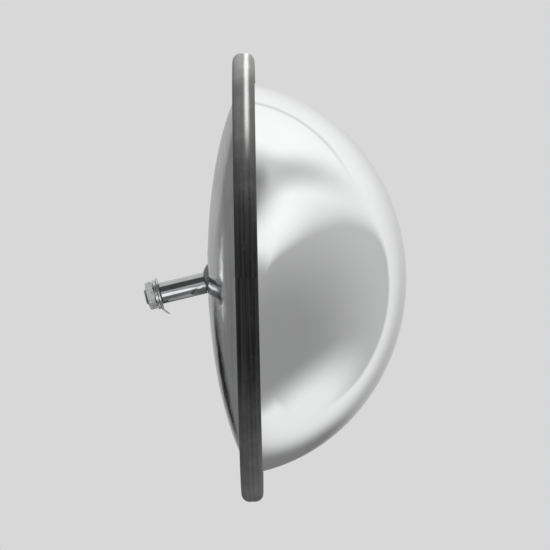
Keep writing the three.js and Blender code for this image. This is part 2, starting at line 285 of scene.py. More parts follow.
def applied(piece):
    """Applies a piece's modifiers."""
    graph = bpy.context.evaluated_depsgraph_get()
    mesh = bpy.data.meshes.new_from_object(piece.evaluated_get(graph))
    piece.modifiers.clear()
    piece.data = mesh
    return piece


def combined(piece, others, operation):
    """Cuts, joins or intersects a piece with others, which are then removed."""
    for other in others:
        modifier = piece.modifiers.new(operation.lower(), "BOOLEAN")
        modifier.operation = operation
        modifier.solver = "EXACT"
        modifier.object = other
    applied(piece)
    for other in others:
        bpy.data.objects.remove(other)
    return piece


def bevelled(piece, width, degrees=30, segments=3):
    """Rounds the sharp edges of a piece."""
    modifier = piece.modifiers.new("bevel", "BEVEL")
    modifier.width = width * MM
    modifier.segments = segments
    modifier.limit_method = "ANGLE"
    modifier.angle_limit = math.radians(degrees)
    applied(piece)
    piece.data.shade_smooth()
    piece.data.set_sharp_from_angle(angle=math.radians(SHARP_AFTER_BEVEL))
    return piece


def shifted(place, x, y):
    """A place moved sideways, in millimetres."""
    return place @ Matrix.Translation(Vector((x, y, 0)) * MM)


# Head pieces.


def make_mirror_dome():
    inner_radius = DOME_RADIUS - DOME_THICKNESS
    inner_depth = DOME_DEPTH - DOME_THICKNESS
    front = DOME_BACK + DOME_THICKNESS
    outer_start = math.asin((front + DOME_FILLET - DOME_CENTRE) / DOME_DEPTH)
    inner_start = math.asin((DOME_BACK - DOME_CENTRE) / inner_depth)
    foot = DOME_RADIUS * math.cos(outer_start)
    flange = [
        (FLANGE_RADIUS - FLANGE_EASE, DOME_BACK),
        (FLANGE_RADIUS, DOME_BACK + FLANGE_EASE),
        (FLANGE_RADIUS, front - FLANGE_EASE),
        (FLANGE_RADIUS - FLANGE_EASE, front),
    ]
    root = [
        (foot + DOME_FILLET * (1 - math.sin(angle)), front + DOME_FILLET * (1 - math.cos(angle)))
        for angle in (math.pi / 2 * k / FILLET_CURVE for k in range(FILLET_CURVE))
    ]
    outline = (
        ellipse(DOME_CENTRE, inner_radius, inner_depth, math.pi / 2, inner_start, SKIN_CURVE)
        + flange
        + root
        + ellipse(DOME_CENTRE, DOME_RADIUS, DOME_DEPTH, outer_start, math.pi / 2, DOME_CURVE)
    )
    return turned("mirror_dome_skin", outline, HEAD, LARGE, 40, closed=False)


def shell_angle(radius, inset=0):
    """Angle on the shell's ellipse, or on one a little inside it, at a radius."""
    return -math.acos(radius / (SHELL_RADIUS - inset))


def make_back_shell():
    inset = SHELL_THICKNESS
    front = SHELL_FLANGE_BACK + SHELL_THICKNESS
    back_end = -math.asin((SHELL_CENTRE - SHELL_FLANGE_BACK) / SHELL_DEPTH)
    front_end = -math.asin((SHELL_CENTRE - front) / (SHELL_DEPTH - inset))
    edge = SHELL_HOLE + HOLE_EASE
    outline = (
        [(SHELL_HOLE, SHELL_APEX + HOLE_EASE_DEPTH)]
        + ellipse(SHELL_CENTRE, SHELL_RADIUS, SHELL_DEPTH, shell_angle(edge), back_end, SKIN_CURVE)
        + [(FLANGE_RADIUS, SHELL_FLANGE_BACK), (FLANGE_RADIUS, front)]
        + ellipse(
            SHELL_CENTRE, SHELL_RADIUS - inset, SHELL_DEPTH - inset,
            front_end, shell_angle(edge, inset), SKIN_CURVE,
        )
    )
    shell = turned("back_shell_skin", outline, HEAD, LARGE, 40)
    return combined(shell, clamp_cutters(), "DIFFERENCE")


def make_rim_gasket():
    slot_back = SHELL_FLANGE_BACK - GAP
    slot_front = DOME_BACK + DOME_THICKNESS + GAP
    slot_radius = FLANGE_RADIUS + GAP
    middle = (RIM_BACK + RIM_FRONT) / 2
    floor = RIM_RADIUS - GROOVE_DEPTH
    outline = rounded([
        (LIP_RADIUS, slot_back, LIP_SLOT_ROUNDING),
        (LIP_RADIUS, RIM_BACK, LIP_ROUNDING),
        (RIM_RADIUS, RIM_BACK, RIM_ROUNDING),
        (RIM_RADIUS, middle - GROOVE_HALF_TOP, 0),
        (floor, middle - GROOVE_HALF_FLOOR, 0),
        (floor, middle + GROOVE_HALF_FLOOR, 0),
        (RIM_RADIUS, middle + GROOVE_HALF_TOP, 0),
        (RIM_RADIUS, RIM_FRONT, RIM_ROUNDING),
        (LIP_RADIUS, RIM_FRONT, LIP_ROUNDING),
        (LIP_RADIUS, slot_front, LIP_SLOT_ROUNDING),
        (slot_radius, slot_front, SLOT_ROUNDING),
        (slot_radius, slot_back, SLOT_ROUNDING),
    ], FILLET_CURVE)
    return turned("rim_gasket_skin", outline, HEAD, LARGE, 50)


def clamp_places():
    """Number and place across the head of each clamp screw."""
    for i in range(CLAMP_COUNT):
        angle = FULL_TURN * (i + 0.5) / CLAMP_COUNT
        yield i + 1, CLAMP_CIRCLE * math.cos(angle), CLAMP_CIRCLE * math.sin(angle)


def clamp_cutters():
    """Countersunk holes for the clamp screws."""
    radius = CLAMP_RADIUS + GAP
    sink = CLAMP_HEAD_RADIUS + CLAMP_HEAD_GAP
    start = CLAMP_HEAD_BACK + CLAMP_HEAD_EDGE
    outside = CLAMP_HEAD_BACK - 2 * OVERSHOOT
    outline = [
        (0, outside), (sink, outside), (sink, start),
        (radius, start + sink - radius), (radius, CLAMP_END), (0, CLAMP_END),
    ]
    return [
        turned(f"cutter_{number}", outline, shifted(HEAD, x, y), SMALL, closed=False)
        for number, x, y in clamp_places()
    ]


def make_socket_ring():
    inset = SHELL_THICKNESS + GAP
    bore = SEAT_RADIUS + GAP
    back = ellipse(
        SHELL_CENTRE, SHELL_RADIUS - inset, SHELL_DEPTH - inset,
        shell_angle(bore, inset), shell_angle(SOCKET_RADIUS, inset), RING_CURVE,
    )
    outline = [(bore, SOCKET_SPLIT)] + back + [(SOCKET_RADIUS, SOCKET_SPLIT)]
    piece = turned("socket_ring_body", outline, HEAD, MEDIUM)
    return bevelled(combined(piece, clamp_cutters(), "DIFFERENCE"), SOCKET_BEVEL)


def make_socket_cup():
    inner = BALL_RADIUS + 2 * GAP + LINER_THICKNESS
    outer = inner + SOCKET_WALL
    back = SOCKET_SPLIT + GAP
    front = back + SOCKET_FLANGE
    outline = (
        ellipse(0, inner, inner, math.pi / 2, 0, CUP_CURVE)
        + [(inner, back), (SOCKET_RADIUS, back), (SOCKET_RADIUS, front)]
        + ellipse(0, outer, outer, math.asin(front / outer), math.pi / 2, CUP_CURVE)
    )
    piece = turned("socket_cup_body", outline, HEAD, MEDIUM, closed=False)
    return bevelled(combined(piece, clamp_cutters(), "DIFFERENCE"), SOCKET_BEVEL)


def make_thrust_cup():
    inner = BALL_RADIUS + GAP
    outer = inner + LINER_THICKNESS
    edge = math.pi / 2 - CUP_ANGLE
    outline = (
        ellipse(0, inner, inner, math.pi / 2, edge, CUP_CURVE)
        + ellipse(0, outer, outer, edge, math.pi / 2, CUP_CURVE)
    )
    return bevelled(turned("thrust_cup_body", outline, HEAD, MEDIUM, closed=False), SOCKET_BEVEL)


def make_seat_ring():
    inner = BALL_RADIUS + GAP
    start = math.asin(SOCKET_SPLIT / inner)
    end = math.asin(SEAT_BACK / inner)
    outline = (
        [(SEAT_RADIUS, SEAT_BACK), (SEAT_RADIUS, SOCKET_SPLIT)]
        + ellipse(0, inner, inner, start, end, SEAT_CURVE)
    )
    return bevelled(turned("seat_ring_body", outline, HEAD, MEDIUM), SOCKET_BEVEL)


def make_clamp_screw(number, place):
    cone = CLAMP_HEAD_BACK + CLAMP_HEAD_EDGE
    outline = [
        (0, CLAMP_HEAD_BACK), (CLAMP_HEAD_RADIUS - CLAMP_HEAD_CHAMFER, CLAMP_HEAD_BACK),
        (CLAMP_HEAD_RADIUS, CLAMP_HEAD_BACK + CLAMP_HEAD_CHAMFER), (CLAMP_HEAD_RADIUS, cone),
        (CLAMP_RADIUS, cone + CLAMP_HEAD_RADIUS - CLAMP_RADIUS),
        (CLAMP_RADIUS, CLAMP_END - CLAMP_END_CHAMFER),
        (CLAMP_RADIUS - CLAMP_END_CHAMFER, CLAMP_END), (0, CLAMP_END),
    ]
    screw = turned(f"clamp_screw_{number}_body", outline, place, SMALL, closed=False)
    outside = CLAMP_HEAD_BACK - OVERSHOOT
    key = prism("key", HEXAGON, CLAMP_KEY_RADIUS, outside, CLAMP_HEAD_BACK + CLAMP_KEY_DEPTH, place)
    return combined(screw, [key], "DIFFERENCE")


def make_washer(name, outer, bore, low, high, place, steps):
    corners = [(bore, low), (outer, low), (outer, high), (bore, high)]
    outline = rounded([(*corner, size) for corner, size in zip(corners, WASHER_ROUNDING)])
    return turned(name, outline, place, steps)


def make_nut(name, flats, height, bore, low, place, pitch):
    """A hexagon nut with chamfered corners and a threaded-looking bore."""
    corner = flats / math.sqrt(3)
    chamfer = (corner - flats / 2) * NUT_CORNER_CUT
    turn = place @ Matrix.Rotation(math.pi / HEXAGON, 4, "Z")
    high = low + height
    below, above = low - OVERSHOOT, high + OVERSHOOT
    nut = prism(name, HEXAGON, corner, low, high, turn)
    start, face, edge = flats / 2 * NUT_CONE_START, flats / 2 * NUT_FACE, corner + NUT_MOUTH
    cone = turned("cone", [
        (0, below), (start, below), (face, low), (edge, low + chamfer),
        (edge, high - chamfer), (face, high), (start, above), (0, above),
    ], place, MEDIUM, closed=False)
    combined(nut, [cone], "INTERSECT")
    mouth = bore + NUT_MOUTH
    grooves = [(0, below), (mouth, below), (mouth, low), (bore, low + NUT_MOUTH)]
    for k in range(round((height - 2 * NUT_MOUTH) / pitch)):
        start = low + NUT_MOUTH + k * pitch
        grooves += [(bore + pitch * NUT_GROOVE, start + pitch / 2), (bore, start + pitch)]
    grooves = [point for point in grooves if point[1] < high - NUT_MOUTH]
    grooves += [(bore, high - NUT_MOUTH), (mouth, high), (mouth, above), (0, above)]
    combined(nut, [turned("tap", grooves, place, SMALL, closed=False)], "DIFFERENCE")
    return bevelled(nut, NUT_BEVEL, 25, 2)


# Arm pieces.


def make_ball():
    flat = math.acos(BALL_FLAT / BALL_RADIUS)
    bore = STUD_RADIUS + GAP
    outline = (
        ellipse(-ARM_LENGTH, BALL_RADIUS, BALL_RADIUS, -math.pi / 2, flat, BALL_CURVE)
        + [(bore + HOLE_EASE, BALL_FLAT_HEIGHT), (bore, BALL_FLAT_HEIGHT - HOLE_EASE)]
        + [(bore, BALL_FLAT_HEIGHT - BALL_BORE_DEPTH), (0, BALL_FLAT_HEIGHT - BALL_BORE_DEPTH)]
    )
    return turned("ball_body", outline, ARM, MEDIUM, closed=False)


def make_arm_tube():
    front = BALL_FLAT_HEIGHT + GAP
    outline = rounded([
        (ARM_BORE, front, 0.3), (ARM_RADIUS, front, 0.5), (ARM_RADIUS, 0, 0.6), (ARM_BORE, 0, 0.3),
    ])
    return turned("arm_tube_body", outline, ARM, MEDIUM)


def thread_radius(angle, height):
    """Radius of the stud's thread at an angle and height."""
    phase = (height / STUD_PITCH - angle / FULL_TURN) % 1
    return STUD_RADIUS - STUD_THREAD_DEPTH * (1 - abs(2 * phase - 1))


def make_arm_stud():
    front = BALL_FLAT_HEIGHT - BALL_BORE_DEPTH + STUD_FOOT
    length = STUD_BACK - STUD_THREAD_START
    points, faces = [], []
    heights = [front, front + STUD_FOOT_CHAMFER, STUD_THREAD_START]
    for k in range(1, STUD_THREAD_ROWS + 1):
        heights.append(STUD_THREAD_START + length * k / STUD_THREAD_ROWS)
    for height in heights:
        for i in range(SMALL):
            angle = FULL_TURN * i / SMALL
            radius = thread_radius(angle, height) if height > STUD_THREAD_START else STUD_RADIUS
            radius = min(
                radius,
                STUD_RADIUS - STUD_CHAMFER + (STUD_BACK - height),
                STUD_RADIUS - STUD_FOOT_CHAMFER + (height - front),
            )
            local = Vector((radius * math.cos(angle), radius * math.sin(angle), height))
            points.append(ARM @ (local * MM))
    for row in range(len(heights) - 1):
        for i in range(SMALL):
            k = (i + 1) % SMALL
            low, high = row * SMALL, (row + 1) * SMALL
            faces.append([low + i, low + k, high + k, high + i])
    faces.append(list(range(SMALL)))
    faces.append([(len(heights) - 1) * SMALL + i for i in range(SMALL)])
    mesh = bpy.data.meshes.new("arm_stud_body")
    mesh.from_pydata(points, [], faces)
    return finish_mesh("arm_stud_body", mesh, 60)


def make_tab_washer():
    """A washer with one tab at its lowest point, bent towards the mirror round a small radius."""
    washer = make_washer(
        "tab_washer_body", TAB_WASHER_RADIUS, WASHER_BORE, GAP, TAB_WASHER_BACK, ARM, MEDIUM,
    )
    points, faces = [], []
    straight = TAB_LENGTH - TAB_BEND_RADIUS * TAB_BEND
    path = [(TAB_ROOT - TAB_OVERLAP, 0.0, 0.0), (TAB_ROOT, 0.0, 0.0)]
    for k in range(1, TAB_BEND_STEPS + 1):
        turn = TAB_BEND * k / TAB_BEND_STEPS
        out = TAB_ROOT + TAB_BEND_RADIUS * math.sin(turn)
        path.append((out, TAB_BEND_RADIUS * (1 - math.cos(turn)), turn))
    out, up, turn = path[-1]
    path.append((out + straight * math.cos(turn), up + straight * math.sin(turn), turn))
    middle = GAP + TAB_WASHER_THICKNESS / 2
    half = TAB_WASHER_THICKNESS / 2
    for out, up, turn in path:
        for side, width in ((-1, -1), (-1, 1), (1, 1), (1, -1)):
            across = out + side * half * math.sin(turn)
            along = middle - up + side * half * math.cos(turn)
            points.append(ARM @ (Vector((width * TAB_WIDTH / 2, across, along)) * MM))
    for row in range(len(path) - 1):
        for i in range(4):
            k = (i + 1) % 4
            low, high = row * 4, row * 4 + 4
            faces.append([low + i, low + k, high + k, high + i])
    faces.append([0, 1, 2, 3])
    faces.append([len(points) - 4 + i for i in range(4)])
    mesh = bpy.data.meshes.new("tab")
    mesh.from_pydata(points, [], faces)
    tab = finish_mesh("tab", mesh, 30)
    return bevelled(combined(washer, [tab], "UNION"), TAB_BEVEL, 45)


# Materials. Noise is read at each piece's own coordinates, in metres.


def set_input(tree, node, name, value):
    socket = node.inputs[name]
    if isinstance(value, bpy.types.NodeSocket):
        tree.links.new(value, socket)
    else:
        socket.default_value = value


def add_node(tree, kind, settings=None, **inputs):
    """A node with its inputs set or linked. _0 is the first input, and __ in a name is a space."""
    node = tree.nodes.new(kind)
    for name, value in (settings or {}).items():
        setattr(node, name, value)
    for name, value in inputs.items():
        set_input(tree, node, int(name[1:]) if name[0] == "_" else name.replace("__", " "), value)
    return node


def math_node(tree, operation, first, second=0.0):
    node = add_node(tree, "ShaderNodeMath", {"operation": operation}, _0=first, _1=second)
    return node.outputs[0]


def vector_node(tree, operation, first, second):
    """The outputs of a vector sum: the first is a vector, and "Value" is a number."""
    settings = {"operation": operation}
    return add_node(tree, "ShaderNodeVectorMath", settings, _0=first, _1=second).outputs


def total(tree, first, *others):
    """The sum of two or more values."""
    for other in others:
        first = math_node(tree, "ADD", first, other)
    return first


def noise(tree, where, scale, detail, roughness):
    node = add_node(
        tree, "ShaderNodeTexNoise", Vector=where, Scale=scale, Detail=detail, Roughness=roughness,
    )
    return node.outputs[0]


def remap(tree, value, low, high, to_low, to_high):
    """Takes one range to another by a smooth step."""
    node = add_node(
        tree, "ShaderNodeMapRange", {"interpolation_type": "SMOOTHSTEP"},
        _0=value, _1=low, _2=high, _3=to_low, _4=to_high,
    )
    return node.outputs[0]


def blend_grey(tree, factor, first, second):
    """A colour part of the way from one grey to another."""
    node = add_node(tree, "ShaderNodeMix", {"data_type": "RGBA"})
    set_input(tree, node, 0, factor)
    node.inputs[6].default_value = (*first, 1)
    node.inputs[7].default_value = (*second, 1)
    return node.outputs[2]


def bumped(tree, height, distance, strength, below=None):
    """A bump, laid over another if there is one below."""
    node = add_node(tree, "ShaderNodeBump", Height=height, Distance=distance, Strength=strength)
    if below is not None:
        tree.links.new(below, node.inputs["Normal"])
    return node.outputs[0]


def new_material(name, metallic, **uniform):
    """A material with its tree, its shader, and the place on the piece that its noise reads."""
    material = bpy.data.materials.new(name)
    material.use_nodes = True
    tree = material.node_tree
    tree.nodes.clear()
    output = tree.nodes.new("ShaderNodeOutputMaterial")
    shader = tree.nodes.new("ShaderNodeBsdfPrincipled")
    tree.links.new(shader.outputs[0], output.inputs[0])
    shader.inputs["Metallic"].default_value = metallic
    for socket, value in uniform.items():
        shader.inputs[socket.replace("__", " ")].default_value = value
    where = add_node(tree, "ShaderNodeTexCoord").outputs["Object"]
    return material, tree, shader, where


def length_of(tree, first, second):
    """Length of a line with these two components."""
    squares = [math_node(tree, "MULTIPLY", part, part) for part in (first, second)]
    return math_node(tree, "SQRT", math_node(tree, "ADD", *squares))


def polar(tree, where):
    """Distance from the mirror's axis, angle about it and place along it."""
    centred = vector_node(tree, "SUBTRACT", where, BALL_CENTRE)[0]
    across, along, up = add_node(tree, "ShaderNodeSeparateXYZ", _0=centred).outputs
    return length_of(tree, across, up), math_node(tree, "ARCTAN2", up, across), along


def drawn_out(tree, value, scale, angle):
    """Coordinates in which noise runs in lines round the mirror's axis."""
    scaled = math_node(tree, "MULTIPLY", value, scale)
    return add_node(tree, "ShaderNodeCombineXYZ", _0=scaled, _1=angle).outputs[0]


def mirror_material():
    """Silvered plastic: clear, with faint haze, smears, dust specks and waves."""
    tint = (0.8, 0.8, 0.8, 1)
    material, tree, shader, where = new_material("mirror_face", 1.0, Specular__Tint=tint)
    haze = noise(tree, where, 7, 5, 0.55)
    smear = noise(tree, where, 38, 7, 0.65)
    specks = noise(tree, where, 900, 2, 0.5)
    clouded = remap(tree, haze, 0.35, 0.75, 0, 1)
    colour = blend_grey(tree, clouded, (0.955, 0.96, 0.96), (0.91, 0.915, 0.92))
    tree.links.new(colour, shader.inputs["Base Color"])
    rough = total(
        tree, remap(tree, haze, 0.4, 0.75, 0.02, 0.05), remap(tree, smear, 0.55, 0.8, 0, 0.05),
        remap(tree, specks, 0.7, 0.8, 0, 0.2),
    )
    tree.links.new(rough, shader.inputs["Roughness"])
    waves = bumped(tree, noise(tree, where, 11, 2, 0.4), 0.0012, 0.35)
    tree.links.new(waves, shader.inputs["Normal"])
    return material


def shell_material():
    """Polished sheet metal with spinning lines, dull bands, stains and shallow dents."""
    material, tree, shader, where = new_material("shell_metal", 1.0)
    radius, angle, _ = polar(tree, where)
    spun = noise(tree, drawn_out(tree, radius, 1500.0, angle), 1.0, 6, 0.7)
    bands = noise(tree, drawn_out(tree, radius, 90.0, angle), 1.3, 3, 0.5)
    stains = noise(tree, where, 22, 6, 0.6)
    mix = math_node(tree, "MULTIPLY", total(tree, bands, stains), 0.5)
    dulled = remap(tree, mix, 0.35, 0.68, 0, 1)
    colour = blend_grey(tree, dulled, (0.66, 0.665, 0.67), (0.50, 0.505, 0.51))
    tree.links.new(colour, shader.inputs["Base Color"])
    rough = total(
        tree, remap(tree, stains, 0.35, 0.75, 0.05, 0.13), remap(tree, spun, 0.4, 0.7, 0, 0.03),
    )
    tree.links.new(rough, shader.inputs["Roughness"])
    lines = bumped(tree, spun, 0.00006, 0.5)
    dents = bumped(tree, noise(tree, where, 16, 3, 0.5), 0.0022, 0.5, lines)
    tree.links.new(dents, shader.inputs["Normal"])
    return material


# How far in front of the ball's centre the painted highlight line on the rim runs, in metres.
RIM_HIGHLIGHT_LINE = (RIM_BACK + RIM_FRONT) / 2 * MM + 0.003
RIM_HIGHLIGHT_HALF_WIDTH = 0.0036


def rubber_material():
    """Moulded black rubber with dust and fine grain, a painted highlight on the top and a painted floor
    reflection at the bottom.
    """
    material, tree, shader, where = new_material("rim_rubber", 0.0, Specular__IOR__Level=0.1)
    _, angle, along = polar(tree, where)
    height = add_node(tree, "ShaderNodeSeparateXYZ", _0=where).outputs[2]
    mottle = noise(tree, where, 30, 6, 0.6)
    grain = noise(tree, where, 1400, 3, 0.6)
    dust = noise(tree, where, 85, 8, 0.7)
    # Painted highlight: the top is lightened most, and the very crown more, as overhead light would
    # show. Painted reflection of the floor: the bottom is lightened a little. A painted highlight line
    # runs over the top.
    painted_top_highlight = remap(tree, height, 0.03, 0.2, 0.0, 0.15)
    painted_crown_highlight = remap(tree, height, 0.195, 0.228, 0.0, 0.14)
    painted_floor_reflection = remap(tree, height, -0.2, -0.05, 0.13, 0.0)
    # Painted highlight: a pale line round the rim, only on its upper part.
    beside_highlight_line = math_node(tree, "ABSOLUTE", math_node(tree, "ADD", along, RIM_HIGHLIGHT_LINE))
    line = remap(tree, beside_highlight_line, 0.0, RIM_HIGHLIGHT_HALF_WIDTH, 0.9, 0.0)
    line = math_node(tree, "MULTIPLY", line, remap(tree, height, 0.12, 0.18, 0.0, 1.0))
    streaks = noise(tree, drawn_out(tree, along, 330.0, angle), 1.3, 3, 0.6)
    grey = total(
        tree, painted_top_highlight, painted_crown_highlight, painted_floor_reflection, line,
        remap(tree, dust, 0.5, 0.85, 0, 0.06), remap(tree, streaks, 0.35, 0.7, 0.0, 0.045),
    )
    grey = math_node(tree, "MULTIPLY", grey, remap(tree, mottle, 0.3, 0.7, 0.8, 1.2))
    colour = blend_grey(tree, grey, (0.015, 0.015, 0.016), (0.8, 0.8, 0.79))
    tree.links.new(colour, shader.inputs["Base Color"])
    rough = total(
        tree, remap(tree, mottle, 0.3, 0.75, 0.45, 0.6), remap(tree, dust, 0.5, 0.8, 0, 0.15),
    )
    tree.links.new(rough, shader.inputs["Roughness"])
    fine = bumped(tree, grain, 0.00015, 0.35)
    soft = bumped(tree, mottle, 0.0006, 0.25, fine)
    tree.links.new(soft, shader.inputs["Normal"])
    return material


def chrome_material():
    """Bright plating with clouded patches and small pits."""
    material, tree, shader, where = new_material("arm_chrome", 1.0)
    cloud = noise(tree, where, 60, 5, 0.6)
    pits = noise(tree, where, 1600, 2, 0.5)
    dulled = remap(tree, cloud, 0.35, 0.75, 0, 1)
    colour = blend_grey(tree, dulled, (0.44, 0.445, 0.45), (0.32, 0.325, 0.33))
    tree.links.new(colour, shader.inputs["Base Color"])
    rough = total(
        tree, remap(tree, cloud, 0.4, 0.8, 0.05, 0.14), remap(tree, pits, 0.66, 0.78, 0, 0.25),
    )
    tree.links.new(rough, shader.inputs["Roughness"])
    tree.links.new(bumped(tree, pits, 0.00004, 0.3), shader.inputs["Normal"])
    return material


def steel_material(name, light, dark, rough_low, rough_high):
    """Plated or plain steel with a crystal-like spangle and handling marks."""
    material, tree, shader, where = new_material(name, 1.0)
    spangle = add_node(tree, "ShaderNodeTexVoronoi", Vector=where, Scale=420.0).outputs["Color"]
    grey = add_node(tree, "ShaderNodeRGBToBW", _0=spangle).outputs[0]
    marks = noise(tree, where, 140, 6, 0.65)
    mix = total(
        tree, math_node(tree, "MULTIPLY", grey, 0.35), math_node(tree, "MULTIPLY", marks, 0.65),
    )
    colour = blend_grey(tree, remap(tree, mix, 0.3, 0.75, 0, 1), light, dark)
    tree.links.new(colour, shader.inputs["Base Color"])
    tree.links.new(remap(tree, mix, 0.25, 0.8, rough_low, rough_high), shader.inputs["Roughness"])
    tree.links.new(bumped(tree, marks, 0.0001, 0.4), shader.inputs["Normal"])
    return material


def nylon_material():
    """Natural moulded nylon with faint flow marks."""
    material, tree, shader, where = new_material("nylon", 0.0, Subsurface__Weight=0.15)
    flow = noise(tree, where, 120, 5, 0.6)
    flowed = remap(tree, flow, 0.3, 0.75, 0, 1)
    colour = blend_grey(tree, flowed, (0.84, 0.82, 0.76), (0.72, 0.69, 0.62))
    tree.links.new(colour, shader.inputs["Base Color"])
    tree.links.new(remap(tree, flow, 0.3, 0.8, 0.4, 0.6), shader.inputs["Roughness"])
    pores = bumped(tree, noise(tree, where, 900, 3, 0.6), 0.00005, 0.4)
    tree.links.new(pores, shader.inputs["Normal"])
    return material


MATERIALS = {
    "mirror_face": mirror_material(),
    "shell_metal": shell_material(),
    "rim_rubber": rubber_material(),
    "arm_chrome": chrome_material(),
    "zinc_steel": steel_material(
        "zinc_steel", (0.66, 0.665, 0.675), (0.42, 0.425, 0.43), 0.24, 0.46,
    ),
    "socket_steel": steel_material(
        "socket_steel", (0.48, 0.48, 0.485), (0.26, 0.26, 0.265), 0.35, 0.6,
    ),
    "nylon": nylon_material(),
}


def place_piece(piece, node, body, slot):
    """The piece stands for its CAD node, takes a finish and rides on a body."""
    piece.data.materials.clear()
    piece.data.materials.append(MATERIALS[slot])
    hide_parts(node)
    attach(piece, body)


# The camera stands to the mirror's side and a little rolled, as for a catalogue picture.
CAMERA_DISTANCE = 4.0
CAMERA_WIDTH = 0.5525 # what the picture takes in at the mirror's middle
CAMERA_ROLL = math.radians(1.2)
RIM_TO_FRAME_CENTRE = 0.0271
FRAME_CENTRE_ABOVE_AXIS = 0.002


def make_camera():
    data = bpy.data.cameras.new("camera")
    data.lens = data.sensor_width * CAMERA_DISTANCE / CAMERA_WIDTH
    camera = bpy.data.objects.new("camera", data)
    bpy.context.scene.collection.objects.link(camera)
    rim_low, rim_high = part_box("rim_gasket")
    rim = (rim_low + rim_high) / 2
    aim = Vector((0, rim.y - RIM_TO_FRAME_CENTRE, rim.z + FRAME_CENTRE_ABOVE_AXIS))
    camera.location = aim + Vector((-CAMERA_DISTANCE, 0, 0))
    look = Vector((1, 0, 0)).to_track_quat("-Z", "Y")
    camera.rotation_mode = "QUATERNION"
    camera.rotation_quaternion = look @ Matrix.Rotation(-CAMERA_ROLL, 3, "Z").to_quaternion()
    data.clip_end = 100
    bpy.context.scene.camera = camera


# The studio, as seen from the object: azimuth 0 is straight away from the camera, 90 is the way
# the mirror faces, 180 is towards the camera. Angles are in degrees and greys are linear.
BACKDROP = 0.687
PAPER_LOW, PAPER_HIGH = -0.75, 0.6 # the paper sweep brightens upwards between these slopes
PAPER_DARK, PAPER_LIGHT = 0.28, 1.0
LOW_SLOPES = (-0.75, -0.2) # the studio's lower part ends softly here
HIGH_SLOPES = (0.05, 0.5) # and its upper part starts softly here
# Soft patches: azimuth, elevation, radius, soft edge, grey.
CAMERA_CEILING = (152, 51, 7, 30, 0.24)
BEHIND_PAPER = (-15, 10, 14, 3, 0.46)
BEHIND_MIRROR = (-78, 0, 51, 7, 0.27)
BEHIND_FLOOR = (-30, -48, 44, 8, 0.24)
BEHIND_LAMP = (-29, -0.2, 0.8, 2.6, 1.2)
BEHIND_SHADOW = (-17.5, -4.6, 2.4, 2.6, 0.01)
BEHIND_WINDOW = (-112, 34, 12, 26, 0.8)
CAMERA_ROOM = (196, 42, 26, 12, 0.12)
CAMERA_LAMP = (186, -29, 12, 9, 2.0)
CAMERA_FLOOR = (152, -66, 4, 24, 0.26)
FLOOR_LIGHT = (62, -52, 8, 27, 0.84)
# The mirror shows a bright ring, the edge of the white paper, round the darker room.
RING_CENTRE = (100, -12)
RING_RADIUS = 54
RING_INNER, RING_SOFT_INNER = 4, 32
RING_OUTER, RING_LOW_OUTER = 22, 31
RING_SIDE, RING_TOP, RING_BOTTOM = 0.84, 0.97, 0.88
RING_GAP = (172, -36, 40, 18) # towards the camera and down, the ring is open
ROOM_DARKEST = (135, -40)
ROOM_NEAR, ROOM_FAR = 15, 85
ROOM_EDGE = (60, 75)
ROOM_DARK, ROOM_LIGHT = 0.29, 0.52
# A thin line, the edge of a white panel overhead.
PANEL_CENTRE = (150, 50)
PANEL_RADIUS, PANEL_LINE = 71, 3.2
PANEL_GREY = 0.76
# A broad soft shade that runs from the dark ceiling towards the front.
SHADE_START, SHADE_END = (136, 55), (72, 36)
SHADE_REACH = (120, 52, 8, 62)
SHADE_WIDTH = math.sin(math.radians(14))
SHADE_GREY = 0.57

# The floor and the lamp, in metres and watts.
FLOOR_HEIGHT = -0.6
FLOOR_RADIUS = 3.0
FLOOR_THICKNESS = 0.02
FLOOR_COVER = 0.6 # how solid the floor is at its middle
FLOOR_FADE = (0.2, 0.9) # shares of the radius between which it thins out
LAMP_POWER = 28
LAMP_SIZE = 1.6
LAMP_PLACE = (0, -0.2, 2.2)


def studio_direction(azimuth, elevation):
    """Direction from the object to a place in the studio."""
    a, e = math.radians(azimuth), math.radians(elevation)
    return Vector((math.cos(a) * math.cos(e), -math.sin(a) * math.cos(e), math.sin(e)))


